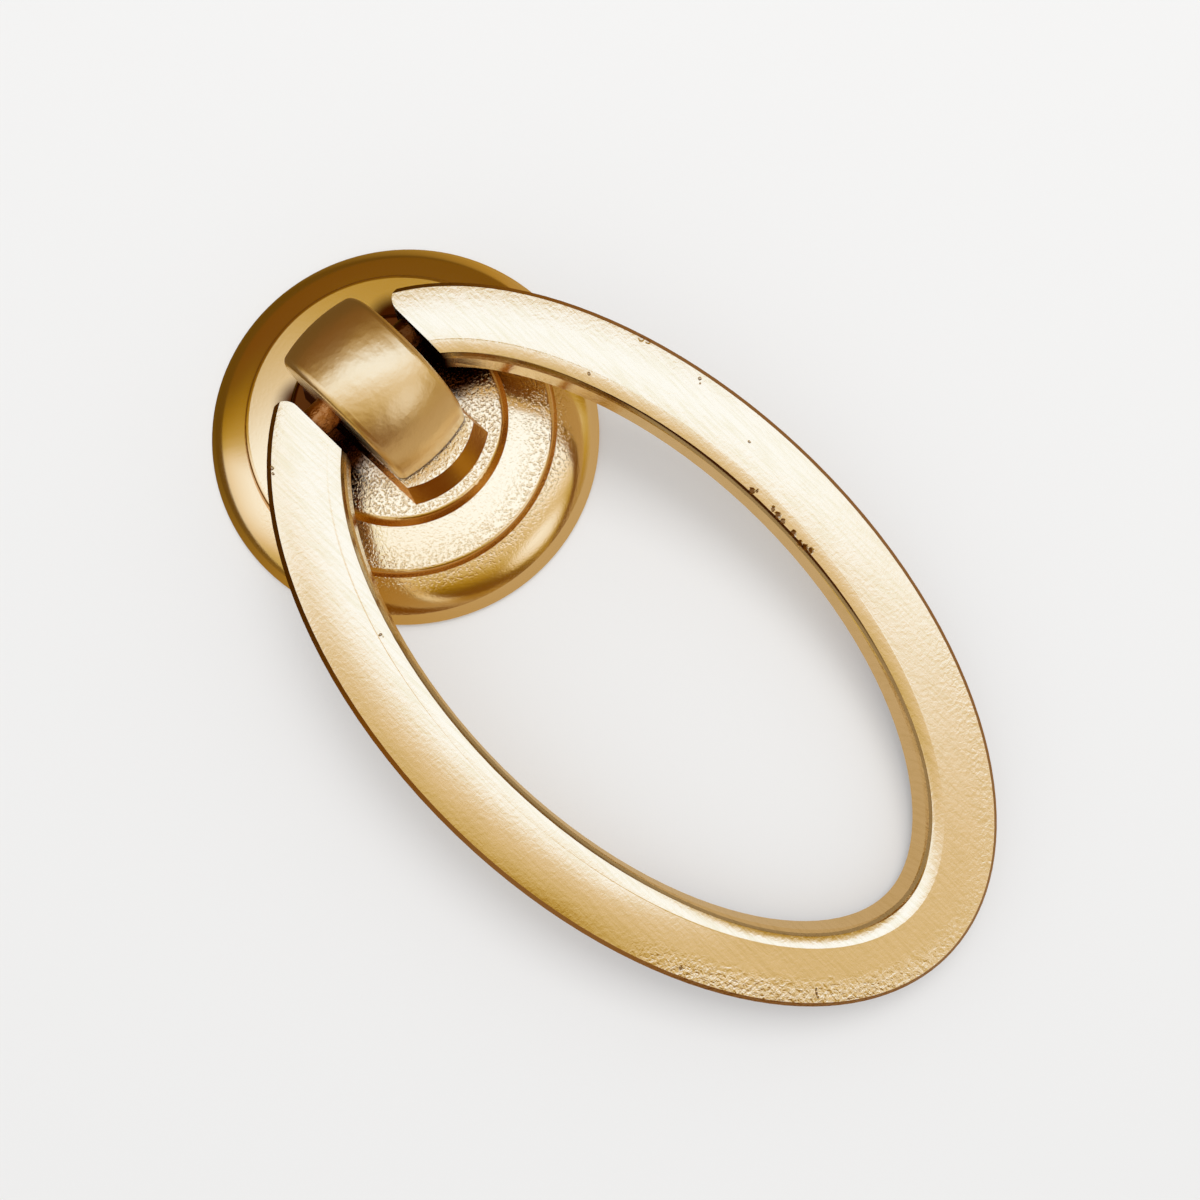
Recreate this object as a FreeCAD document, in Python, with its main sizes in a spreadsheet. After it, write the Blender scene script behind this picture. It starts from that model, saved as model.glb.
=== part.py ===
import FreeCAD, Part
import math
import os
import Sketcher

Vector = FreeCAD.Vector

doc = FreeCAD.newDocument("RingPullHandle")
sheet = doc.addObject("Spreadsheet::Sheet", "Sizes")


class Size:
    """A length together with the sheet expression that drives it."""

    def __init__(self, value, text):
        self.value = value
        self.text = text

    def __add__(self, other):
        return Size(self.value + other.value, "(%s + %s)" % (self.text, other.text))

    def __sub__(self, other):
        return Size(self.value - other.value, "(%s - %s)" % (self.text, other.text))

    def __mul__(self, other):
        return Size(self.value * other.value, "(%s * %s)" % (self.text, other.text))

    def __truediv__(self, other):
        return Size(self.value / other.value, "(%s / %s)" % (self.text, other.text))

    def __neg__(self):
        return Size(-self.value, "(-%s)" % self.text)


ZERO = Size(0.0, "0")
ONE = Size(1.0, "1")
TWO = Size(2.0, "2")


def root(size):
    return Size(math.sqrt(size.value), "sqrt(%s)" % size.text)


def arcsine(size):
    return Size(math.degrees(math.asin(size.value)), "asin(%s)" % size.text)


def arctangent(size):
    return Size(math.degrees(math.atan(size.value)), "atan(%s)" % size.text)


row_count = 0


def dimension(alias, value):
    """One driving dimension in millimetres, in its own row of the sheet."""
    global row_count
    row_count += 1
    cell = "B%d" % row_count
    sheet.set("A%d" % row_count, alias.replace("_", " "))
    sheet.set(cell, str(value))
    sheet.setAlias(cell, alias)
    return Size(value, "Sizes." + alias)


# Rosette: a turned stack of rim, rounded shoulder, step, shallow dish and centre disk.
base_radius = dimension("base_radius", 16.0)
rim_land = dimension("rim_land", 0.35)
rim_height = dimension("rim_height", 1.4)
rim_lean = dimension("rim_lean", 0.65)
shoulder_width = dimension("shoulder_width", 2.8)
shoulder_rise = dimension("shoulder_rise", 1.5)
shoulder_radius = dimension("shoulder_radius", 4.2)
step_lean = dimension("step_lean", 0.3)
step_rise = dimension("step_rise", 0.7)
step_rounding = dimension("step_rounding", 0.5)
dish_rise = dimension("dish_rise", 0.55)
riser_lean = dimension("riser_lean", 0.45)
riser_rise = dimension("riser_rise", 0.85)
disk_radius = dimension("disk_radius", 8.25)
disk_rounding = dimension("disk_rounding", 0.4)

# Foot on the centre disk: a flat-sided block with round ends, whose top seats the post.
foot_ledge = dimension("foot_ledge", 0.95)
foot_lean = dimension("foot_lean", 1.1)
foot_rise = dimension("foot_rise", 1.3)
foot_width = dimension("foot_width", 8.0)
foot_side_lean = dimension("foot_side_lean", 0.4)

# Back of the rosette: cored out round the centre boss, with a keyed hole for the post.
core_boss_radius = dimension("core_boss_radius", 5.8)
core_wall = dimension("core_wall", 3.8)
core_depth = dimension("core_depth", 1.8)
tenon_radius = dimension("tenon_radius", 3.2)
tenon_width = dimension("tenon_width", 4.8)
tenon_clearance = dimension("tenon_clearance", 0.1)
screw_bore_radius = dimension("screw_bore_radius", 1.65)
screw_bore_depth = dimension("screw_bore_depth", 6.8)

# Post: a crowned barrel lying across the seat, carried down to it by a flat-sided neck.
hinge_offset = dimension("hinge_offset", 2.5)
hinge_rise = dimension("hinge_rise", 2.7)
barrel_offset = dimension("barrel_offset", 1.55)
barrel_rise = dimension("barrel_rise", 1.8)
barrel_radius = dimension("barrel_radius", 6.45)
post_width = dimension("post_width", 7.1)
crown_radius = dimension("crown_radius", 13.0)
edge_rounding = dimension("edge_rounding", 0.7)

# Pivot pin, pressed into the post and free in the ring's two ends.
pin_radius = dimension("pin_radius", 1.2)
pin_chamfer = dimension("pin_chamfer", 0.2)
pin_reach = dimension("pin_reach", 1.9)
pin_end_gap = dimension("pin_end_gap", 0.3)
running_clearance = dimension("running_clearance", 0.05)

# Ring: a band of constant section round an oval, cut open at the hinge.
ring_width = dimension("ring_width", 39.0)
ring_length = dimension("ring_length", 66.7)
hinge_inset = dimension("hinge_inset", 4.4)
band_width = dimension("band_width", 5.65)
band_thickness = dimension("band_thickness", 3.45)
edge_break = dimension("edge_break", 0.4)
inner_bevel_width = dimension("inner_bevel_width", 1.25)
inner_bevel_drop = dimension("inner_bevel_drop", 0.22)
inner_edge_break = dimension("inner_edge_break", 0.35)
side_gap = dimension("side_gap", 1.55)
tail_rounding = dimension("tail_rounding", 1.2)
doc.recompute()

# Heights of the stacked levels, each measured from the one below it.
shoulder_top = rim_height + shoulder_rise
step_top = shoulder_top + step_rise
dish_top = step_top + dish_rise
disk_top = dish_top + riser_rise
seat_height = disk_top + foot_rise
barrel_height = seat_height + barrel_rise
hinge_height = seat_height + hinge_rise

rim_top_radius = base_radius - rim_lean
step_foot_radius = rim_top_radius - shoulder_width
step_top_radius = step_foot_radius - step_lean
riser_foot_radius = disk_radius + riser_lean
foot_radius = disk_radius - foot_ledge
foot_top_radius = foot_radius - foot_lean

half_band = band_thickness / TWO
ring_half_width = ring_width / TWO
ring_half_length = ring_length / TWO
ring_centre = ring_half_length - hinge_inset
gap_half = post_width / TWO + side_gap


def make_body(label):
    body = doc.addObject("PartDesign::Body", label.title().replace("_", ""))
    body.Label = label
    return body


def origin_plane(body, role):
    for feature in body.Origin.OriginFeatures:
        if feature.Role == role:
            return feature
    raise ValueError("no plane " + role)


def make_sketch(body, name, role):
    sketch = body.newObject("Sketcher::SketchObject", name)
    sketch.AttachmentSupport = [(origin_plane(body, role), "")]
    sketch.MapMode = "FlatFace"
    return sketch


def bind(item, path, size):
    item.setExpression(path, size.text)


def drive(sketch, kind, args, size):
    """Adds one dimension to a sketch and binds it to the sheet."""
    index = sketch.addConstraint(Sketcher.Constraint(kind, *args, size.value))
    sketch.setExpression("Constraints[%d]" % index, size.text)


def hold_point(sketch, geo, pos, x, y):
    """Places one sketch point by its distances from the sketch's own axes, -2 upright and -1 level."""
    if x.text == "0":
        sketch.addConstraint(Sketcher.Constraint("PointOnObject", geo, pos, -2))
    else:
        drive(sketch, "DistanceX", (-1, 1, geo, pos), x)
    if y.text == "0":
        sketch.addConstraint(Sketcher.Constraint("PointOnObject", geo, pos, -1))
    else:
        drive(sketch, "DistanceY", (-1, 1, geo, pos), y)


def arc_between(start, end, radius):
    """The short arc from start to end; a positive radius turns left, a negative one right."""
    chord = end - start
    half = chord.Length / 2
    rise = math.sqrt(max(radius * radius - half * half, 0.0))
    left = Vector(-chord.y, chord.x, 0).normalize()
    centre = (start + end) / 2 + left * (rise if radius > 0 else -rise)
    first, last = (start, end) if radius > 0 else (end, start)
    angle_first = math.atan2(first.y - centre.y, first.x - centre.x)
    angle_last = math.atan2(last.y - centre.y, last.x - centre.x)
    circle = Part.Circle(centre, Vector(0, 0, 1), abs(radius))
    return Part.ArcOfCircle(circle, angle_first, angle_last)


def draw_outline(sketch, corners, arcs):
    """A closed outline through corners; arcs gives the radius of the side after a corner."""
    points = [Vector(x.value, y.value, 0) for x, y in corners]
    ends = []
    for number, start in enumerate(points):
        end = points[(number + 1) % len(points)]
        if number in arcs:
            geo = sketch.addGeometry(arc_between(start, end, arcs[number].value))
            ends.append((geo, 1, 2) if arcs[number].value > 0 else (geo, 2, 1))
        else:
            geo = sketch.addGeometry(Part.LineSegment(start, end))
            ends.append((geo, 1, 2))
    for number, (geo, first, last) in enumerate(ends):
        following = ends[(number + 1) % len(ends)]
        sketch.addConstraint(Sketcher.Constraint("Coincident", geo, last, following[0], following[1]))
        hold_point(sketch, geo, first, *corners[number])
    for number, radius in arcs.items():
        size = radius if radius.value > 0 else -radius
        drive(sketch, "Radius", (ends[number][0],), size)


def draw_circle(sketch, x, y, radius):
    geo = sketch.addGeometry(Part.Circle(Vector(x.value, y.value, 0), Vector(0, 0, 1), radius.value))
    hold_point(sketch, geo, 3, x, y)
    drive(sketch, "Radius", (geo,), radius)


def draw_keyed_circle(sketch, radius, half_width):
    """A circle with two flats across X, as of a keyed tenon."""
    half_flat = root(radius * radius - half_width * half_width)
    corners = [
        (half_width, -half_flat),
        (half_width, half_flat),
        (-half_width, half_flat),
        (-half_width, -half_flat),
    ]
    draw_outline(sketch, corners, {1: radius, 3: radius})


def pocket(body, name, sketch, depth, reverse, middle=False):
    """Cuts a sketch into a body and makes sure that it took material away."""
    doc.recompute()
    before = body.Shape.Volume
    cut = body.newObject("PartDesign::Pocket", name)
    cut.Profile = sketch
    cut.Type = "Length"
    bind(cut, "Length", depth)
    cut.Reversed = reverse
    cut.Midplane = middle
    doc.recompute()
    if not body.Shape.Volume < before - 1e-6:
        raise ValueError(name + " cuts nothing")
    return cut


def pad(body, name, sketch, length, reverse=False, middle=False):
    lift = body.newObject("PartDesign::Pad", name)
    lift.Profile = sketch
    lift.Type = "Length"
    bind(lift, "Length", length)
    lift.Reversed = reverse
    lift.Midplane = middle
    doc.recompute()
    return lift


# The rosette is turned from one half profile, drawn from the axis outwards and back.
base = make_body("base")
base_profile = make_sketch(base, "BaseProfile", "XZ_Plane")


def rounded_corner(before, corner, after, radius):
    """The two tangent points of a round that replaces an outline's corner."""
    ahead_x, ahead_y = after[0] - corner[0], after[1] - corner[1]
    back_x, back_y = before[0] - corner[0], before[1] - corner[1]
    ahead = root(ahead_x * ahead_x + ahead_y * ahead_y)
    back = root(back_x * back_x + back_y * back_y)
    cosine = (ahead_x * back_x + ahead_y * back_y) / (ahead * back)
    setback = radius * root((ONE + cosine) / (ONE - cosine))
    first = (corner[0] + back_x * setback / back, corner[1] + back_y * setback / back)
    last = (corner[0] + ahead_x * setback / ahead, corner[1] + ahead_y * setback / ahead)
    return first, last


step_foot = (step_foot_radius, shoulder_top)
riser_foot = (riser_foot_radius, dish_top)
foot_edge = (foot_radius, disk_top)
step_first, step_last = rounded_corner(step_foot, (step_top_radius, step_top), riser_foot, step_rounding)
disk_first, disk_last = rounded_corner(riser_foot, (disk_radius, disk_top), foot_edge, disk_rounding)
draw_outline(base_profile, [
    (ZERO, ZERO),
    (base_radius, ZERO),
    (base_radius, rim_land),
    (rim_top_radius, rim_height),
    step_foot,
    step_first,
    step_last,
    riser_foot,
    disk_first,
    disk_last,
    foot_edge,
    (foot_top_radius, seat_height),
    (ZERO, seat_height),
], {3: shoulder_radius, 5: step_rounding, 8: disk_rounding})
base_turn = base.newObject("PartDesign::Revolution", "BaseTurn")
base_turn.Profile = base_profile
base_turn.ReferenceAxis = (base_profile, ["V_Axis"])
base_turn.Angle = 360.0
doc.recompute()

# The foot's front end slopes, and its back end stands upright under the post.
back_sketch = make_sketch(base, "FootBack", "XY_Plane")
bind(back_sketch, "AttachmentOffset.Base.z", disk_top)
foot_half = foot_width / TWO
foot_corner = root(foot_radius * foot_radius - foot_half * foot_half)
draw_outline(back_sketch, [
    (-foot_half, ZERO),
    (foot_half, ZERO),
    (foot_half, foot_corner),
    (-foot_half, foot_corner),
], {2: foot_radius})
pad(base, "FootBackPad", back_sketch, foot_rise)

# Two flats with a casting draft leave the foot as a strip as wide as the post needs.
flat_sketch = make_sketch(base, "FootFlats", "XZ_Plane")
foot_top_half = foot_half - foot_side_lean
flat_reach = foot_radius + foot_ledge / TWO
for side in (ONE, -ONE):
    draw_outline(flat_sketch, [
        (side * foot_half, disk_top),
        (side * flat_reach, disk_top),
        (side * flat_reach, seat_height),
        (side * foot_top_half, seat_height),
    ], {})
pocket(base, "FootFlatCut", flat_sketch, TWO * foot_radius, False, True)

# The casting is cored out behind the dish, so that rim and boss meet the mounting surface.
core_sketch = make_sketch(base, "BackCore", "XY_Plane")
draw_circle(core_sketch, ZERO, ZERO, base_radius - core_wall)
draw_circle(core_sketch, ZERO, ZERO, core_boss_radius)
pocket(base, "BackCoreCut", core_sketch, core_depth, True)

# A keyed hole through the boss and foot takes the post's tenon.
key_sketch = make_sketch(base, "TenonHole", "XY_Plane")
draw_keyed_circle(key_sketch, tenon_radius + tenon_clearance, tenon_width / TWO + tenon_clearance)
pocket(base, "TenonHoleCut", key_sketch, seat_height, True)

# The post's outline has flat sides and crowned ends, its corners rounded into the flats.
post = make_body("post")
post_half = post_width / TWO
rounding_x = post_half - edge_rounding
crown_bend = crown_radius - edge_rounding
crown_centre = barrel_radius - crown_radius
rounding_y = crown_centre + root(crown_bend * crown_bend - rounding_x * rounding_x)
crown_x = rounding_x * crown_radius / crown_bend
crown_y = crown_centre + root(crown_radius * crown_radius - crown_x * crown_x)


def make_barrel_sketch(name):
    """A level sketch at the barrel's axis, with that axis as its own X axis."""
    sketch = make_sketch(post, name, "XY_Plane")
    bind(sketch, "AttachmentOffset.Base.y", barrel_offset)
    bind(sketch, "AttachmentOffset.Base.z", barrel_height)
    return sketch


# Half of the outline, turned about the barrel's axis, makes the barrel.
barrel_sketch = make_barrel_sketch("BarrelSection")
draw_outline(barrel_sketch, [
    (-post_half, ZERO),
    (post_half, ZERO),
    (post_half, rounding_y),
    (crown_x, crown_y),
    (-crown_x, crown_y),
    (-post_half, rounding_y),
], {2: edge_rounding, 3: crown_radius, 4: edge_rounding})
barrel = post.newObject("PartDesign::Revolution", "Barrel")
barrel.Profile = barrel_sketch
barrel.ReferenceAxis = (barrel_sketch, ["H_Axis"])
barrel.Angle = 360.0
doc.recompute()

# The barrel is cut flat where it sits on the foot.
seat_sketch = make_sketch(post, "SeatPlane", "XY_Plane")
bind(seat_sketch, "AttachmentOffset.Base.z", seat_height)
seat_reach = barrel_offset + TWO * barrel_radius
draw_outline(seat_sketch, [
    (-post_width, -seat_reach),
    (post_width, -seat_reach),
    (post_width, seat_reach),
    (-post_width, seat_reach),
], {})
pocket(post, "SeatCut", seat_sketch, TWO * barrel_radius, False)

# Its front runs straight down from the axis to the seat, on the other half of the outline.
neck_sketch = make_barrel_sketch("NeckOutline")
draw_outline(neck_sketch, [
    (post_half, ZERO),
    (-post_half, ZERO),
    (-post_half, -rounding_y),
    (-crown_x, -crown_y),
    (crown_x, -crown_y),
    (post_half, -rounding_y),
], {2: edge_rounding, 3: crown_radius, 4: edge_rounding})
pad(post, "Neck", neck_sketch, barrel_rise, True)

# The keyed tenon passes through the base and ends flush with its back.
tenon_sketch = make_sketch(post, "Tenon", "XY_Plane")
draw_keyed_circle(tenon_sketch, tenon_radius, tenon_width / TWO)
pad(post, "TenonPad", tenon_sketch, seat_height)

bore_sketch = make_sketch(post, "ScrewBore", "XY_Plane")
draw_circle(bore_sketch, ZERO, ZERO, screw_bore_radius)
pocket(post, "ScrewBoreCut", bore_sketch, screw_bore_depth, True)

cross_sketch = make_sketch(post, "PinHole", "YZ_Plane")
draw_circle(cross_sketch, hinge_offset, hinge_height, pin_radius)
pocket(post, "PinHoleCut", cross_sketch, post_width, False, True)

# The pin is a plain round bar with broken ends, drawn across its own middle.
pin = make_body("pin")
pin_sketch = make_sketch(pin, "PinSection", "YZ_Plane")
draw_circle(pin_sketch, ZERO, ZERO, pin_radius)
pin_pad = pad(pin, "PinBar", pin_sketch, TWO * (gap_half + pin_reach), False, True)
pin_rims = ["Edge%d" % n for n, e in enumerate(pin.Shape.Edges, 1) if isinstance(e.Curve, Part.Circle)]
pin_ends = pin.newObject("PartDesign::Chamfer", "PinEnds")
pin_ends.Base = (pin_pad, pin_rims)
bind(pin_ends, "Size", pin_chamfer)
bind(pin, "Placement.Base.y", hinge_offset)
bind(pin, "Placement.Base.z", hinge_height)
doc.recompute()

# The ring lies in its own XY plane with the hinge along X through the origin.
ring = make_body("ring")
path = make_sketch(ring, "OvalPath", "XY_Plane")
oval_centre = Vector(0, -ring_centre.value, 0)
hinge_side = oval_centre + Vector(0, ring_half_length.value, 0)
left_side = oval_centre - Vector(ring_half_width.value, 0, 0)
gap_share = post_half.value / ring_half_width.value
full_oval = Part.Ellipse(hinge_side, left_side, oval_centre)
oval = path.addGeometry(Part.ArcOfEllipse(full_oval, 0.0, 2 * math.pi - math.asin(gap_share)))
path.exposeInternalGeometry(oval)
long_axis = oval + 1
short_axis = oval + 2
hold_point(path, oval, 3, ZERO, -ring_centre)
path.addConstraint(Sketcher.Constraint("PointOnObject", oval, 1, -2))
drive(path, "DistanceX", (-1, 1, oval, 2), post_half)
path.addConstraint(Sketcher.Constraint("Vertical", long_axis))
drive(path, "Distance", (long_axis,), ring_length)
drive(path, "Distance", (short_axis,), ring_width)

# Band section at the hinge side: flat top with a wide shallow bevel inside, all edges broken.
outer_wall = ring_half_length - ring_centre
inner_wall = outer_wall - band_width
band = make_sketch(ring, "BandSection", "YZ_Plane")
draw_outline(band, [
    (inner_wall + edge_break, -half_band),
    (outer_wall - edge_break, -half_band),
    (outer_wall, edge_break - half_band),
    (outer_wall, half_band - edge_break),
    (outer_wall - edge_break, half_band),
    (inner_wall + inner_bevel_width, half_band),
    (inner_wall + inner_edge_break, half_band - inner_bevel_drop),
    (inner_wall, half_band - inner_bevel_drop - inner_edge_break),
    (inner_wall, edge_break - half_band),
], {})
doc.recompute()
sweep = ring.newObject("PartDesign::AdditivePipe", "BandSweep")
sweep.Profile = band
sweep.Spine = (path, ["Edge1"])
doc.recompute()

# The gap for the post is cut square, and the two tails are rounded off behind the hinge.
tail_x = gap_half + tail_rounding
tail_share = tail_x / ring_half_width
tail_y = ring_half_length * root(ONE - tail_share * tail_share) - ring_centre
gap_sketch = make_sketch(ring, "HingeGap", "XY_Plane")
draw_outline(gap_sketch, [
    (-gap_half, -band_width),
    (gap_half, -band_width),
    (gap_half, tail_y - tail_rounding),
    (tail_x, tail_y),
    (tail_x, tail_y + band_width),
    (-tail_x, tail_y + band_width),
    (-tail_x, tail_y),
    (-gap_half, tail_y - tail_rounding),
], {2: -tail_rounding, 6: -tail_rounding})
pocket(ring, "HingeGapCut", gap_sketch, TWO * band_thickness, False, True)

eye_sketch = make_sketch(ring, "PinEyes", "YZ_Plane")
draw_circle(eye_sketch, ZERO, ZERO, pin_radius + running_clearance)
pocket(ring, "PinEyeCut", eye_sketch, TWO * (gap_half + pin_reach + pin_end_gap), False, True)

# At rest the far end lies on the mounting surface, which sets the angle about the hinge.
rest_reach = ring_centre + ring_half_length - edge_break
rest_span = root(rest_reach * rest_reach + half_band * half_band)
rest_angle = arcsine(hinge_height / rest_span) - arctangent(half_band / rest_reach)
ring.Placement = FreeCAD.Placement(Vector(), FreeCAD.Rotation(Vector(1, 0, 0), rest_angle.value))
bind(ring, "Placement.Base.y", hinge_offset)
bind(ring, "Placement.Base.z", hinge_height)
bind(ring, "Placement.Rotation.Angle", rest_angle)
doc.recompute()

for item in doc.Objects:
    if "Invalid" in item.State or "Error" in item.State:
        raise ValueError("%s failed: %s" % (item.Name, item.State))

os.makedirs("parts", exist_ok=True)
for body in (base, post, pin, ring):
    shape = body.Shape
    if shape.isNull() or not shape.isValid() or len(shape.Solids) != 1:
        raise ValueError(body.Label + " is not one valid solid")
    box = shape.optimalBoundingBox()
    print("%s volume %.1f mm3, box %s to %s" % (
        body.Label, shape.Volume,
        tuple(round(v, 2) for v in (box.XMin, box.YMin, box.ZMin)),
        tuple(round(v, 2) for v in (box.XMax, box.YMax, box.ZMax))))
    shape.exportStep("parts/%s.step" % body.Label)
print("rest angle %.3f degrees, hinge at y %.3f, z %.3f" % (
    rest_angle.value, hinge_offset.value, hinge_height.value))
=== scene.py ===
import math
import bpy
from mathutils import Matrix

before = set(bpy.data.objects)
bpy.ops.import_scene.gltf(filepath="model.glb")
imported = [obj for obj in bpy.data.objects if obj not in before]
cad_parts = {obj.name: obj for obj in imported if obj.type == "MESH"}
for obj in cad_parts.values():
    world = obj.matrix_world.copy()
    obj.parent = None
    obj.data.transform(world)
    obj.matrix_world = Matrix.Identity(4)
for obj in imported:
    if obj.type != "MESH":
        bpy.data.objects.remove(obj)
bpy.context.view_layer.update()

# Rosette: the round stepped plate that lies on the drawer front, with a flat-sided foot for
# the post. It is die cast and gold plated, with a fine cast grain left on its level faces and
# smooth polished walls and shoulder.
MM = 0.001
disk_top = 5 * MM
cast_grain = 0.24 * MM
cast_relief = 0.03 * MM
# Reach of the painted shade that darkens the recesses.
recess_shade_reach = 4 * MM
shade_fade = 1.6
# Plate colour, then the painted shade tones of the step walls and of the disk under the ring.
plate_tone, wall_shade_tone, disk_shade_tone = "#F3E0B7", "#D8A45A", "#50280A"


def colour(hex_code):
    """Linear colour of an sRGB hex value."""
    parts = [int(hex_code[i:i + 2], 16) / 255 for i in (1, 3, 5)]
    return [p / 12.92 if p <= 0.04045 else ((p + 0.055) / 1.055) ** 2.4 for p in parts] + [1.0]


def add(tree, kind, sockets=None, **settings):
    """Adds a node with its settings, and links or sets its input sockets."""
    item = tree.nodes.new(kind)
    for name, value in settings.items():
        setattr(item, name, value)
    for name, value in (sockets or {}).items():
        if isinstance(value, bpy.types.NodeSocket):
            tree.links.new(value, item.inputs[name])
        else:
            item.inputs[name].default_value = value
    return item


def begin_metal(name):
    """A bare metal material: its tree, object coordinates and shader."""
    material = bpy.data.materials.new(name)
    material.use_nodes = True
    tree = material.node_tree
    place = add(tree, "ShaderNodeTexCoord")
    shader = tree.nodes["Principled BSDF"]
    shader.inputs["Metallic"].default_value = 1.0
    return material, tree, place, shader


def recess_shaded(tree, plate, reach):
    """The plate's colour with painted shade in the recesses: browned, then blackened, where the
    surroundings close in.
    """
    recess = add(tree, "ShaderNodeAmbientOcclusion", {"Distance": reach}, samples=8)
    painted_shade = add(tree, "ShaderNodeValToRGB", {"Fac": recess.outputs["AO"]})
    painted_shade.color_ramp.elements.new(0.5)
    for stop, share, tone in zip(
            painted_shade.color_ramp.elements, (0.14, 0.3, 0.48), ("#1E0E03", "#A0622A", "#FFFFFF")):
        stop.position = share
        stop.color = colour(tone)
    return add(tree, "ShaderNodeMix", {
        0: 1.0, 6: plate, 7: painted_shade.outputs["Color"]}, data_type="RGBA", blend_type="MULTIPLY").outputs[2]


def dress(node, material):
    """Gives a CAD node the one material."""
    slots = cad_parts[node].data.materials
    slots.clear()
    slots.append(material)


# Gold plate over a fine cast skin: the polished dish and shoulder mirror the room softly. Radii are
# in millimetres.
cast_gold, tree, place, shader = begin_metal("cast_gold_plate")
from_axis = add(tree, "ShaderNodeVectorMath", {
    0: place.outputs["Object"], 1: (1 / MM, 1 / MM, 0.0)}, operation="MULTIPLY")
radius = add(tree, "ShaderNodeVectorMath", {0: from_axis.outputs["Vector"]}, operation="LENGTH")
dish = add(tree, "ShaderNodeMapRange", {
    "Value": radius.outputs["Value"], "From Min": 8.7, "From Max": 12.0, "To Max": 0.22})
shoulder = add(tree, "ShaderNodeMapRange", {
    "Value": radius.outputs["Value"], "From Min": 12.2, "From Max": 14.2, "To Max": 2.0})
lean = add(tree, "ShaderNodeMath", {
    0: shoulder.outputs["Result"], 1: 0.055, 2: -0.22}, operation="MULTIPLY_ADD")
form = add(tree, "ShaderNodeMath", {
    0: lean.outputs["Value"], 1: shoulder.outputs["Result"], 2: dish.outputs["Result"]},
    operation="MULTIPLY_ADD")
polished = add(tree, "ShaderNodeBump", {
    "Strength": 1.0, "Distance": MM, "Height": form.outputs["Value"]})

# The cast grain sparkles on the level faces of the near side, and is rubbed thin over the middle of
# the dish.
grain = add(tree, "ShaderNodeTexNoise", {
    "Vector": place.outputs["Object"], "Scale": 1 / cast_grain, "Detail": 2.0, "Roughness": 0.6})
pits = add(tree, "ShaderNodeMapRange", {
    "Value": grain.outputs["Fac"], "From Min": 0.25, "From Max": 0.55}, interpolation_type="SMOOTHSTEP")
facing = add(tree, "ShaderNodeSeparateXYZ", {"Vector": place.outputs["Normal"]})
level = add(tree, "ShaderNodeMapRange", {
    "Value": facing.outputs["Z"], "From Min": 0.9, "From Max": 0.985, "To Min": 0.1, "To Max": 1.0})
spot = add(tree, "ShaderNodeSeparateXYZ", {"Vector": place.outputs["Object"]})
near = add(tree, "ShaderNodeMapRange", {
    "Value": spot.outputs["Y"], "From Min": 5 * MM, "From Max": -3 * MM, "To Min": 0.03, "To Max": 1.0})
off_disk = add(tree, "ShaderNodeMapRange", {
    "Value": radius.outputs["Value"], "From Min": 8.3, "From Max": 8.9, "To Min": 1.0, "To Max": 0.3})
to_step = add(tree, "ShaderNodeMapRange", {
    "Value": radius.outputs["Value"], "From Min": 9.8, "From Max": 12.0, "To Max": 0.7})
worn_dish = add(tree, "ShaderNodeMath", {
    0: off_disk.outputs["Result"], 1: to_step.outputs["Result"]}, operation="ADD")
near_share = add(tree, "ShaderNodeMath", {
    0: near.outputs["Result"], 1: worn_dish.outputs["Value"]}, operation="MULTIPLY")
rough_share = add(tree, "ShaderNodeMath", {
    0: level.outputs["Result"], 1: near_share.outputs["Value"]}, operation="MULTIPLY")
relief = add(tree, "ShaderNodeBump", {
    "Strength": rough_share.outputs["Value"], "Distance": cast_relief, "Height": pits.outputs["Result"],
    "Normal": polished.outputs["Normal"]})
tree.links.new(relief.outputs["Normal"], shader.inputs["Normal"])

# The short steep walls of the steps are painted a darker orange as painted shade, and painted shade lies
# on the disk beside the post, under the ring's two ends and behind the pin, and in the recesses.
# Painted shade: the steep walls of the steps, inside the shoulder, take a darker orange.
wall = add(tree, "ShaderNodeMapRange", {
    "Value": facing.outputs["Z"], "From Min": 0.88, "From Max": 0.6})
inside = add(tree, "ShaderNodeMapRange", {
    "Value": radius.outputs["Value"], "From Min": 12.9, "From Max": 12.6})
shaded_wall = add(tree, "ShaderNodeMath", {
    0: wall.outputs["Result"], 1: inside.outputs["Result"]}, operation="MULTIPLY")
plate = add(tree, "ShaderNodeMix", {
    0: shaded_wall.outputs["Value"], 6: colour(plate_tone), 7: colour(wall_shade_tone)}, data_type="RGBA")
# Painted shade patches on the disk, where the post and the ring's ends shade it.
for x, y, reach in ((6.6, 1.6, 5.2), (-5.6, 2.6, 4.6), (-4.4, 6.2, 3.0), (5.6, 5.8, 3.2)):
    gap = add(tree, "ShaderNodeVectorMath", {
        0: place.outputs["Object"], 1: (x * MM, y * MM, disk_top)}, operation="DISTANCE")
    painted_shade = add(tree, "ShaderNodeMapRange", {
        "Value": gap.outputs["Value"], "From Min": reach * MM, "From Max": (reach - shade_fade) * MM},
        interpolation_type="SMOOTHSTEP")
    plate = add(tree, "ShaderNodeMix", {
        0: painted_shade.outputs["Result"], 6: plate.outputs[2], 7: colour(disk_shade_tone)}, data_type="RGBA")
tree.links.new(recess_shaded(tree, plate.outputs[2], recess_shade_reach), shader.inputs["Base Color"])
shader.inputs["Roughness"].default_value = 0.16
dress("base", cast_gold)

# Hinge post: a crowned barrel seated on the foot and keyed through the rosette. It is die cast,
# polished smooth and gold plated, with only a faint ripple left from polishing.
ripple_length = 0.8 * MM
ripple_relief = 0.06 * MM
# Heights and tone of the painted shadow line under the barrel's edge.
shadow_line_top, shadow_line_foot = 6.8 * MM, 6.45 * MM
barrel_tone, shadow_line_tone = "#F1DDB2", "#4A280C"
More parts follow.
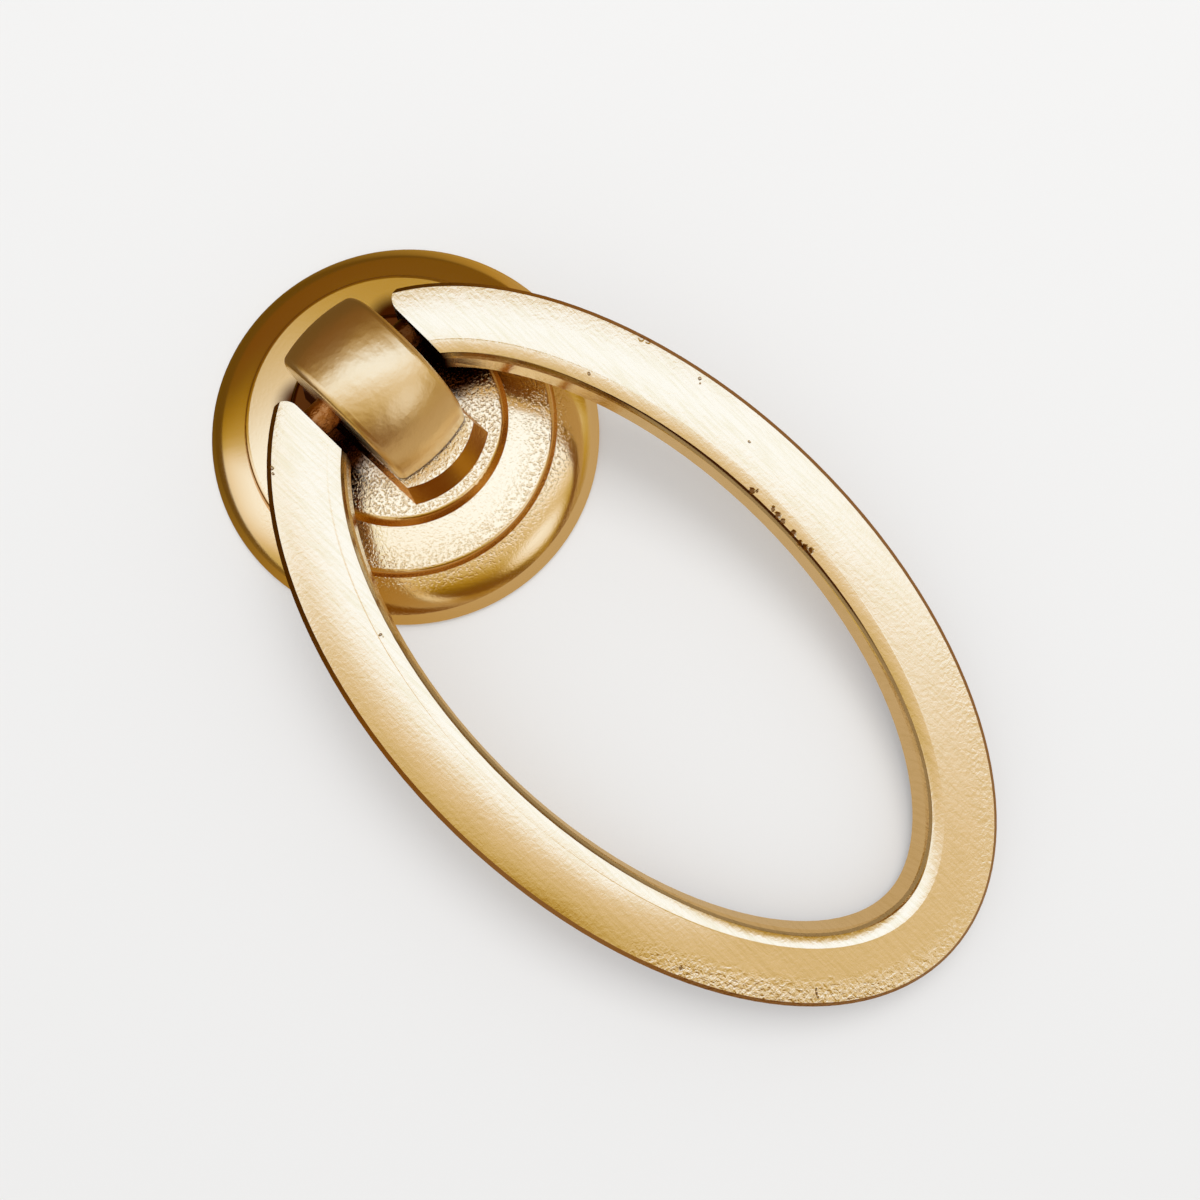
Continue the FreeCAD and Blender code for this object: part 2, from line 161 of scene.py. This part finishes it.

# Satin gold plate: a broad soft highlight over the crown, a dark painted shadow line where the barrel
# meets the foot, and painted shade in the recesses.
satin_gold, tree, place, shader = begin_metal("satin_gold_plate")
ripple = add(tree, "ShaderNodeTexNoise", {
    "Vector": place.outputs["Object"], "Scale": 1 / ripple_length, "Detail": 3.0})
relief = add(tree, "ShaderNodeBump", {
    "Strength": 0.6, "Distance": ripple_relief, "Height": ripple.outputs["Fac"]})
tree.links.new(relief.outputs["Normal"], shader.inputs["Normal"])
spot = add(tree, "ShaderNodeSeparateXYZ", {"Vector": place.outputs["Object"]})
shadow_line = add(tree, "ShaderNodeMapRange", {
    "Value": spot.outputs["Z"], "From Min": shadow_line_top, "From Max": shadow_line_foot})
plate = add(tree, "ShaderNodeMix", {
    0: shadow_line.outputs["Result"], 6: colour(barrel_tone), 7: colour(shadow_line_tone)}, data_type="RGBA")
tree.links.new(recess_shaded(tree, plate.outputs[2], recess_shade_reach), shader.inputs["Base Color"])
shader.inputs["Roughness"].default_value = 0.33
dress("post", satin_gold)

# Pivot pin: a short turned bar pressed through the post, its ends free in the ring. Its plating
# is thin and coppery, rough from the turning.
turning_length = 0.6 * MM
turning_relief = 0.2 * MM
# Reach of the painted shade in the pin's recesses.
pin_recess_shade_reach = 3 * MM
# Pin colour, and the painted shade tone of its right-hand end in the dark gap.
pin_tone, pin_end_shade_tone = "#B8824C", "#5A3414"

# Thin coppery plate: a dull reddish gleam broken by the turning marks, nearly lost in painted shade at
# the right-hand end and in the recesses.
coppery, tree, place, shader = begin_metal("coppery_turned_pin")
turning = add(tree, "ShaderNodeTexNoise", {
    "Vector": place.outputs["Object"], "Scale": 1 / turning_length, "Detail": 3.0})
relief = add(tree, "ShaderNodeBump", {
    "Strength": 0.8, "Distance": turning_relief, "Height": turning.outputs["Fac"]})
tree.links.new(relief.outputs["Normal"], shader.inputs["Normal"])
spot = add(tree, "ShaderNodeSeparateXYZ", {"Vector": place.outputs["Object"]})
shaded_right_end = add(tree, "ShaderNodeMapRange", {
    "Value": spot.outputs["X"], "From Min": 2 * MM, "From Max": 3 * MM})
plate = add(tree, "ShaderNodeMix", {
    0: shaded_right_end.outputs["Result"], 6: colour(pin_tone), 7: colour(pin_end_shade_tone)}, data_type="RGBA")
tree.links.new(recess_shaded(tree, plate.outputs[2], pin_recess_shade_reach), shader.inputs["Base Color"])
shader.inputs["Roughness"].default_value = 0.28
dress("pin", coppery)

# Ring: the flat oval bail that the fingers pull, open at the hinge where its two ends take the
# pin. It is die cast, brushed along its length on a belt and gold plated.
half_width, half_length, oval_middle = 19.5, 33.1, -26.45
bevel_from, edge_from, band_width = 4.4, 5.42, 5.65
belly_middle = 2.6
arms_end, end_begins = -36 * MM, -47 * MM
belt_line = (0.22 * MM, 3.5 * MM, 3.5 * MM)
belt_relief = 0.04 * MM
ring_grain = 0.34 * MM
ring_relief = 0.15 * MM
tear_size = 0.3 * MM
tear_shift = 0.22 * MM
knock_relief = 0.1 * MM
pale_line, bright_line = "#EBDAB1", "#F2E2BF"
# Painted shade tones for the outer edge, the inner edge line and the end faces; the knock tone is wear.
outer_edge_shade_tone, inner_edge_shade_tone, end_shade_tone, knock_tone = "#A2763A", "#5A3210", "#4A280C", "#6E4414"
brushed_gold, tree, place, shader = begin_metal("brushed_gold_plate")

# How far in from the outer edge a point of the oval lies, in millimetres.
oval = add(tree, "ShaderNodeVectorMath", {
    0: place.outputs["Object"], 1: (0.0, oval_middle * MM, 0.0)}, operation="SUBTRACT")
shape = add(tree, "ShaderNodeVectorMath", {
    0: oval.outputs["Vector"], 1: (1 / (half_width * MM), 1 / (half_length * MM), 0.0)},
    operation="MULTIPLY")
share = add(tree, "ShaderNodeVectorMath", {0: shape.outputs["Vector"]}, operation="LENGTH")
slope = add(tree, "ShaderNodeVectorMath", {
    0: shape.outputs["Vector"], 1: (1 / half_width, 1 / half_length, 0.0)}, operation="MULTIPLY")
per_mm = add(tree, "ShaderNodeVectorMath", {0: slope.outputs["Vector"]}, operation="LENGTH")
left = add(tree, "ShaderNodeMath", {0: 1.0, 1: share.outputs["Value"]}, operation="SUBTRACT")
scaled = add(tree, "ShaderNodeMath", {
    0: left.outputs["Value"], 1: share.outputs["Value"]}, operation="MULTIPLY")
inset = add(tree, "ShaderNodeMath", {
    0: scaled.outputs["Value"], 1: per_mm.outputs["Value"]}, operation="DIVIDE")

# The belt leaves a slight belly across the arms' flat top, most on the left arm and none at the far
# end. It rolls the bevel over towards the opening, and the edge down into the wall.
spot = add(tree, "ShaderNodeSeparateXYZ", {"Vector": place.outputs["Object"]})
to_end = add(tree, "ShaderNodeMapRange", {
    "Value": spot.outputs["Y"], "From Min": arms_end, "From Max": end_begins})
arm = add(tree, "ShaderNodeMapRange", {
    "Value": spot.outputs["X"], "From Min": -10 * MM, "From Max": 10 * MM,
    "To Min": -0.048, "To Max": -0.018})
bowed = add(tree, "ShaderNodeMix", {0: to_end.outputs["Result"], 2: arm.outputs["Result"], 3: 0.003})
flat = add(tree, "ShaderNodeMath", {0: inset.outputs["Value"], 1: bevel_from}, operation="MINIMUM")
off_middle = add(tree, "ShaderNodeMath", {
    0: flat.outputs["Value"], 1: belly_middle}, operation="SUBTRACT")
belly = add(tree, "ShaderNodeMath", {0: off_middle.outputs["Value"], 1: 2.0}, operation="POWER")
past_flat = add(tree, "ShaderNodeMath", {
    0: inset.outputs["Value"], 1: bevel_from}, operation="SUBTRACT")
on_bevel = add(tree, "ShaderNodeMath", {0: past_flat.outputs["Value"], 1: 0.0}, operation="MAXIMUM")
lift = add(tree, "ShaderNodeMix", {0: to_end.outputs["Result"], 2: 0.12, 3: 0.04})
bend = add(tree, "ShaderNodeMix", {0: to_end.outputs["Result"], 2: -0.09, 3: -0.155})
roll = add(tree, "ShaderNodeMath", {
    0: on_bevel.outputs["Value"], 1: bend.outputs[0], 2: lift.outputs[0]}, operation="MULTIPLY_ADD")
rolled = add(tree, "ShaderNodeMath", {
    0: roll.outputs["Value"], 1: on_bevel.outputs["Value"]}, operation="MULTIPLY")
past_edge = add(tree, "ShaderNodeMapRange", {
    "Value": inset.outputs["Value"], "From Min": edge_from, "From Max": band_width, "To Max": -0.35})
lower = add(tree, "ShaderNodeMath", {
    0: rolled.outputs["Value"], 1: past_edge.outputs["Result"]}, operation="ADD")
form = add(tree, "ShaderNodeMath", {
    0: belly.outputs["Value"], 1: bowed.outputs[0], 2: lower.outputs["Value"]}, operation="MULTIPLY_ADD")
bellied = add(tree, "ShaderNodeBump", {
    "Strength": 1.0, "Distance": MM, "Height": form.outputs["Value"]})

# Fine belt lines run along the arms, over a faint cast grain that is left coarse and crackled along
# the rim of the far end.
stretch = add(tree, "ShaderNodeMapping", {
    "Vector": place.outputs["Object"], "Scale": [1 / size for size in belt_line]})
lines = add(tree, "ShaderNodeTexNoise", {
    "Vector": stretch.outputs["Vector"], "Scale": 1.0, "Detail": 3.0, "Roughness": 0.65})
brushed = add(tree, "ShaderNodeBump", {
    "Strength": 0.17, "Distance": belt_relief, "Height": lines.outputs["Fac"],
    "Normal": bellied.outputs["Normal"]})
grain = add(tree, "ShaderNodeTexNoise", {
    "Vector": place.outputs["Object"], "Scale": 1 / ring_grain, "Detail": 3.0, "Distortion": 0.4})
at_rim = add(tree, "ShaderNodeMapRange", {
    "Value": inset.outputs["Value"], "From Min": 2.5, "From Max": 1.0})
at_end = add(tree, "ShaderNodeMapRange", {
    "Value": spot.outputs["Y"], "From Min": -40 * MM, "From Max": -46 * MM})
on_left = add(tree, "ShaderNodeMapRange", {
    "Value": spot.outputs["X"], "From Min": 2 * MM, "From Max": -7 * MM, "To Min": 0.2})
end_rim = add(tree, "ShaderNodeMath", {
    0: at_rim.outputs["Result"], 1: at_end.outputs["Result"]}, operation="MULTIPLY")
crackle = add(tree, "ShaderNodeMath", {
    0: end_rim.outputs["Value"], 1: on_left.outputs["Result"]}, operation="MULTIPLY")
grain_share = add(tree, "ShaderNodeMapRange", {
    "Value": crackle.outputs["Value"], "To Min": 0.12, "To Max": 1.0})
cast = add(tree, "ShaderNodeBump", {
    "Strength": grain_share.outputs["Result"], "Distance": ring_relief, "Height": grain.outputs["Fac"],
    "Normal": brushed.outputs["Normal"]})

# Knocks from use, with ragged outlines: nicks in the inner edge of one arm, pits in the flat top and
# dings in the rim. Each is given by its place and reach in millimetres, and its depth.
ragged = add(tree, "ShaderNodeTexNoise", {
    "Vector": place.outputs["Object"], "Scale": 1 / tear_size, "Detail": 1.0})
shift = add(tree, "ShaderNodeVectorMath", {
    0: ragged.outputs["Color"], 1: (0.5, 0.5, 0.5)}, operation="SUBTRACT")
torn = add(tree, "ShaderNodeVectorMath", {
    0: shift.outputs["Vector"], 1: (tear_shift, tear_shift, tear_shift), 2: place.outputs["Object"]},
    operation="MULTIPLY_ADD")
inner_nicks = (
    (14.3, -24.3, 7.3, 0.3, 0.9), (14.6, -24.6, 7.3, 0.2, 0.8), (14.45, -26.4, 7.1, 0.24, 0.8),
    (14.35, -27.0, 7.0, 0.3, 0.9), (14.3, -27.6, 7.0, 0.24, 0.8), (14.2, -28.8, 6.8, 0.3, 0.9),
    (13.95, -29.7, 6.7, 0.32, 1.0), (14.0, -30.2, 6.7, 0.34, 1.0), (14.2, -30.7, 6.6, 0.28, 1.0))
right_arm_pits = (
    (11.8, -9.5, 9.3, 0.15, 0.6), (17.6, -15.6, 8.6, 0.13, 0.5), (17.35, -15.9, 8.5, 0.11, 0.4),
    (16.6, -10.4, 9.2, 0.25, 0.25), (16.8, -10.9, 9.1, 0.25, 0.25), (16.8, -21.6, 7.9, 0.13, 0.5))
far_rim_dings = (
    (-9.8, -53.9, 4.0, 0.13, 0.9), (-9.65, -53.65, 4.1, 0.12, 0.9), (-9.5, -53.4, 4.1, 0.1, 0.8),
    (-15.2, -44.8, 5.1, 0.24, 0.7))
left_arm_pits = (
    (-12.1, -11.4, 9.1, 0.12, 0.4), (-12.8, -12.1, 9.0, 0.14, 0.6), (-12.75, -12.4, 9.0, 0.12, 0.5),
    (-9.6, 1.8, 10.7, 0.15, 0.6), (-9.8, 1.4, 10.6, 0.13, 0.6))
knocks = None
for x, y, z, reach, depth in inner_nicks + right_arm_pits + far_rim_dings + left_arm_pits:
    gap = add(tree, "ShaderNodeVectorMath", {
        0: torn.outputs["Vector"], 1: (x * MM, y * MM, z * MM)}, operation="DISTANCE")
    knock = add(tree, "ShaderNodeMapRange", {
        "Value": gap.outputs["Value"], "From Min": reach * MM, "From Max": 0.5 * reach * MM,
        "To Max": depth})
    knocks = knock if knocks is None else add(tree, "ShaderNodeMath", {
        0: knocks.outputs[0], 1: knock.outputs["Result"]}, operation="MAXIMUM")
dinged = add(tree, "ShaderNodeBump", {
    "Strength": 0.9, "Distance": knock_relief, "Height": knocks.outputs[0],
    "Normal": cast.outputs["Normal"]}, invert=True)
tree.links.new(dinged.outputs["Normal"], shader.inputs["Normal"])

# Brushed gold plate: pale lines along the belt's run, and painted brown shade on the outward-facing
# outer edge.
streak = add(tree, "ShaderNodeValToRGB", {"Fac": lines.outputs["Fac"]})
streak.color_ramp.elements[0].position = 0.34
streak.color_ramp.elements[0].color = colour(pale_line)
streak.color_ramp.elements[1].position = 0.56
streak.color_ramp.elements[1].color = colour(bright_line)
heading = add(tree, "ShaderNodeVectorMath", {0: slope.outputs["Vector"]}, operation="NORMALIZE")
outward = add(tree, "ShaderNodeVectorMath", {
    0: heading.outputs["Vector"], 1: place.outputs["Normal"]}, operation="DOT_PRODUCT")
outer_edge_shade = add(tree, "ShaderNodeMapRange", {
    "Value": outward.outputs["Value"], "From Min": 0.25, "From Max": 0.5})
outer_shaded = add(tree, "ShaderNodeMix", {
    0: outer_edge_shade.outputs["Result"], 6: streak.outputs["Color"], 7: colour(outer_edge_shade_tone)},
    data_type="RGBA")

# A thin dark line of painted shade lies along the inner edge, strongest on the right arm and gone at the
# far end.
facing = add(tree, "ShaderNodeSeparateXYZ", {"Vector": place.outputs["Normal"]})
inward = add(tree, "ShaderNodeMapRange", {
    "Value": outward.outputs["Value"], "From Min": -0.4, "From Max": -0.55})
upward = add(tree, "ShaderNodeMapRange", {
    "Value": facing.outputs["Z"], "From Min": 0.3, "From Max": 0.5})
inner_edge = add(tree, "ShaderNodeMath", {
    0: inward.outputs["Result"], 1: upward.outputs["Result"]}, operation="MULTIPLY")
along_arm = add(tree, "ShaderNodeMapRange", {
    "Value": spot.outputs["Y"], "From Min": -44 * MM, "From Max": -36 * MM})
on_right = add(tree, "ShaderNodeMapRange", {
    "Value": spot.outputs["X"], "From Min": -4 * MM, "From Max": 8 * MM, "To Min": 0.45})
line_shade_share = add(tree, "ShaderNodeMath", {
    0: along_arm.outputs["Result"], 1: on_right.outputs["Result"]}, operation="MULTIPLY")
thin = add(tree, "ShaderNodeMapRange", {
    "Value": inset.outputs["Value"], "From Min": 5.5, "From Max": 5.44})
thin_share = add(tree, "ShaderNodeMath", {
    0: line_shade_share.outputs["Value"], 1: thin.outputs["Result"]}, operation="MULTIPLY")
inner_edge_shade = add(tree, "ShaderNodeMath", {
    0: inner_edge.outputs["Value"], 1: thin_share.outputs["Value"]}, operation="MULTIPLY")
inner_shaded = add(tree, "ShaderNodeMix", {
    0: inner_edge_shade.outputs["Value"], 6: outer_shaded.outputs[2], 7: colour(inner_edge_shade_tone)}, data_type="RGBA")

# The two end faces beside the post are dull, and darkened with painted shade.
apart = add(tree, "ShaderNodeMath", {0: spot.outputs["X"]}, operation="ABSOLUTE")
by_post = add(tree, "ShaderNodeMapRange", {
    "Value": apart.outputs["Value"], "From Min": 5.7 * MM, "From Max": 5.15 * MM})
at_hinge = add(tree, "ShaderNodeMapRange", {
    "Value": spot.outputs["Y"], "From Min": -12 * MM, "From Max": -10 * MM})
end_face = add(tree, "ShaderNodeMath", {
    0: by_post.outputs["Result"], 1: at_hinge.outputs["Result"]}, operation="MULTIPLY")
not_top = add(tree, "ShaderNodeMapRange", {
    "Value": facing.outputs["Z"], "From Min": 0.9, "From Max": 0.6})
shaded_dull_ends = add(tree, "ShaderNodeMath", {
    0: end_face.outputs["Value"], 1: not_top.outputs["Result"]}, operation="MULTIPLY")
ends_shaded = add(tree, "ShaderNodeMix", {
    0: shaded_dull_ends.outputs["Value"], 6: inner_shaded.outputs[2], 7: colour(end_shade_tone)}, data_type="RGBA")
worn = add(tree, "ShaderNodeMix", {
    0: knocks.outputs[0], 6: ends_shaded.outputs[2], 7: colour(knock_tone)}, data_type="RGBA")
# Painted shade darkens the ring's recesses.
tree.links.new(recess_shaded(tree, worn.outputs[2], recess_shade_reach), shader.inputs["Base Color"])
dull = add(tree, "ShaderNodeMapRange", {
    "Value": shaded_dull_ends.outputs["Value"], "To Min": 0.2, "To Max": 0.75})
tree.links.new(dull.outputs["Result"], shader.inputs["Roughness"])
dress("ring", brushed_gold)

# Table: the plain pale top that the pull lies on, a matt white laminate. The metal mirrors it
# as the dim warm strip of table under and round the pull, dimmer still on its far side.
table_size = 2.4
top_tone, veil_tone, veil_strength = "#ECEBE9", "#EEEDEB", 0.3
strip_from, strip_to = -24 * MM, 16 * MM
strip_way = (-0.35, 0.94, 0.0)
bpy.ops.object.select_all(action="DESELECT")
bpy.ops.mesh.primitive_plane_add(size=table_size, location=(0, 0, 0))
table = bpy.context.object
table.name = "table"

# Matt white laminate: a plain pale ground that takes soft shadows and shows no highlight.
laminate = bpy.data.materials.new("matt_white_laminate")
laminate.use_nodes = True
tree = laminate.node_tree
top_shader = tree.nodes["Principled BSDF"]
top_shader.inputs["Base Color"].default_value = colour(top_tone)
top_shader.inputs["Roughness"].default_value = 0.7
top_shader.inputs["Specular IOR Level"].default_value = 0.2
place = add(tree, "ShaderNodeTexCoord")
behind = add(tree, "ShaderNodeVectorMath", {
    0: place.outputs["Object"], 1: strip_way}, operation="DOT_PRODUCT")
run = add(tree, "ShaderNodeMapRange", {
    "Value": behind.outputs["Value"], "From Min": strip_from, "From Max": strip_to})
strip = add(tree, "ShaderNodeValToRGB", {"Fac": run.outputs["Result"]})
strip.color_ramp.elements.new(0.5)
for stop, share, tone in zip(
        strip.color_ramp.elements, (0.15, 0.6, 1.0), ("#C9AE86", "#B88E3C", "#6A4A0A")):
    stop.position = share
    stop.color = colour(tone)
# For glossy rays the table glows as a painted reflection: the warm strip, darker on its far side.
ray = add(tree, "ShaderNodeLightPath")
dim_table = add(tree, "ShaderNodeEmission", {"Color": strip.outputs["Color"], "Strength": 1.0})
pale_top = add(tree, "ShaderNodeEmission", {"Color": colour(veil_tone), "Strength": 1.0})
veil = add(tree, "ShaderNodeMath", {
    0: ray.outputs["Is Camera Ray"], 1: veil_strength}, operation="MULTIPLY")
lit_top = add(tree, "ShaderNodeMixShader", {
    0: veil.outputs["Value"], 1: top_shader.outputs["BSDF"], 2: pale_top.outputs["Emission"]})
seen = add(tree, "ShaderNodeMixShader", {
    0: ray.outputs["Is Glossy Ray"], 1: lit_top.outputs["Shader"], 2: dim_table.outputs["Emission"]})
tree.links.new(seen.outputs["Shader"], tree.nodes["Material Output"].inputs["Surface"])
table.data.materials.append(laminate)

# Daylight room: even neutral light for the table. The metal mirrors a band of daylight that runs
# overhead from the windows on the right to those on the left, and dim warm walls before and
# behind it.
band_across, band_along = (0.721, 0.693, 0.0), (0.693, -0.721, 0.0)
across_stops = (
    (-1.0, 0.06), (-0.8, 0.08), (-0.66, 0.15), (-0.56, 0.28), (-0.46, 0.4), (-0.36, 0.43), (-0.25, 0.48),
    (-0.16, 0.595), (-0.08, 0.76), (0.0, 0.9), (0.1, 1.0), (0.33, 1.0), (0.37, 0.8), (0.41, 0.54),
    (0.47, 0.33), (0.56, 0.21), (0.68, 0.14), (0.85, 0.09), (1.0, 0.09))
along_stops = (
    (-1.0, 0.55), (-0.92, 0.66), (-0.77, 0.78), (-0.6, 0.84), (-0.35, 0.92), (-0.1, 1.0), (0.42, 1.0),
    (0.55, 0.9), (0.7, 0.75), (0.85, 0.5), (1.0, 0.2))
window_way = (0.17, -0.86, 0.48)
wall_tones = (
    (0.055, "#5C3404"), (0.094, "#614206"), (0.148, "#82630D"), (0.234, "#967A2C"), (0.352, "#A5915E"),
    (0.469, "#B6A48A"), (0.625, "#C2BAB4"), (0.78, "#CDCFDB"), (0.9, "#D1DAF0"), (1, "#D3E0FF"))
even_tone, backdrop_tone, room_strength = "#ACADAF", "#BAB9B8", 1.77
world = bpy.data.worlds.new("daylight_room")
bpy.context.scene.world = world
world.use_nodes = True
tree = world.node_tree
look = add(tree, "ShaderNodeTexCoord")
across = add(tree, "ShaderNodeVectorMath", {
    0: look.outputs["Generated"], 1: band_across}, operation="DOT_PRODUCT")
along = add(tree, "ShaderNodeVectorMath", {
    0: look.outputs["Generated"], 1: band_along}, operation="DOT_PRODUCT")
turn = add(tree, "ShaderNodeMapRange", {
    "Value": along.outputs["Value"], "From Min": -0.38, "From Max": -0.54, "To Max": 0.25})
bent = add(tree, "ShaderNodeMath", {
    0: across.outputs["Value"], 1: turn.outputs["Result"]}, operation="ADD")
shares = []
for track, stops in ((bent, across_stops), (along, along_stops)):
    spread = add(tree, "ShaderNodeMapRange", {
        "Value": track.outputs["Value"], "From Min": -1.0, "From Max": 1.0})
    share = add(tree, "ShaderNodeValToRGB", {"Fac": spread.outputs["Result"]})
    while len(share.color_ramp.elements) < len(stops):
        share.color_ramp.elements.new(0.5)
    for stop, (way, level) in zip(share.color_ramp.elements, stops):
        stop.position = (way + 1) / 2
        stop.color = (level, level, level, 1.0)
    shares.append(share)
daylight = add(tree, "ShaderNodeMath", {
    0: shares[0].outputs["Color"], 1: shares[1].outputs["Color"]}, operation="MULTIPLY")
window = add(tree, "ShaderNodeVectorMath", {
    0: look.outputs["Generated"], 1: window_way}, operation="DOT_PRODUCT")
pane = add(tree, "ShaderNodeMapRange", {
    "Value": window.outputs["Value"], "From Min": 0.94, "From Max": 0.985, "To Max": 0.45})
lit = add(tree, "ShaderNodeMath", {
    0: daylight.outputs["Value"], 1: pane.outputs["Result"]}, operation="ADD")
walls = add(tree, "ShaderNodeValToRGB", {"Fac": lit.outputs["Value"]})
while len(walls.color_ramp.elements) < len(wall_tones):
    walls.color_ramp.elements.new(0.5)
for stop, (share, tone) in zip(walls.color_ramp.elements, wall_tones):
    stop.position = share
    stop.color = colour(tone)
ray = add(tree, "ShaderNodeLightPath")
even = add(tree, "ShaderNodeMix", {
    0: ray.outputs["Is Glossy Ray"], 6: colour(even_tone), 7: walls.outputs["Color"]}, data_type="RGBA")
backdrop = add(tree, "ShaderNodeMix", {
    0: ray.outputs["Is Camera Ray"], 6: even.outputs[2], 7: colour(backdrop_tone)}, data_type="RGBA")
tree.links.new(backdrop.outputs[2], tree.nodes["Background"].inputs["Color"])
tree.nodes["Background"].inputs["Strength"].default_value = room_strength

# Softbox: one large fabric-fronted lamp on a stand, overhead and behind the hinge on the right. It
# lays the soft shadows on the table.
bpy.ops.object.light_add(type="AREA", location=(0.19, 0.11, 0.42))
softbox = bpy.context.object
softbox.name = "softbox"
softbox.data.size = 0.26
softbox.data.energy = 1.0
softbox.rotation_euler = (-softbox.location).to_track_quat("-Z", "Y").to_euler()
softbox.visible_glossy = False

# Camera: close above the pull, looking steeply down on it from in front and to the left, so that
# the ring runs to the lower right of the picture.
bpy.ops.object.camera_add(
    location=(-7.973 * MM, -27.287 * MM, 84.429 * MM),
    rotation=[math.radians(angle) for angle in (7.217, -1.2285, -46.3646)])
camera = bpy.context.object
camera.data.sensor_width = 36.0
camera.data.lens = 31.17
camera.data.clip_start = 0.005
bpy.context.scene.camera = camera
bpy.context.scene.view_settings.view_transform = "Standard"
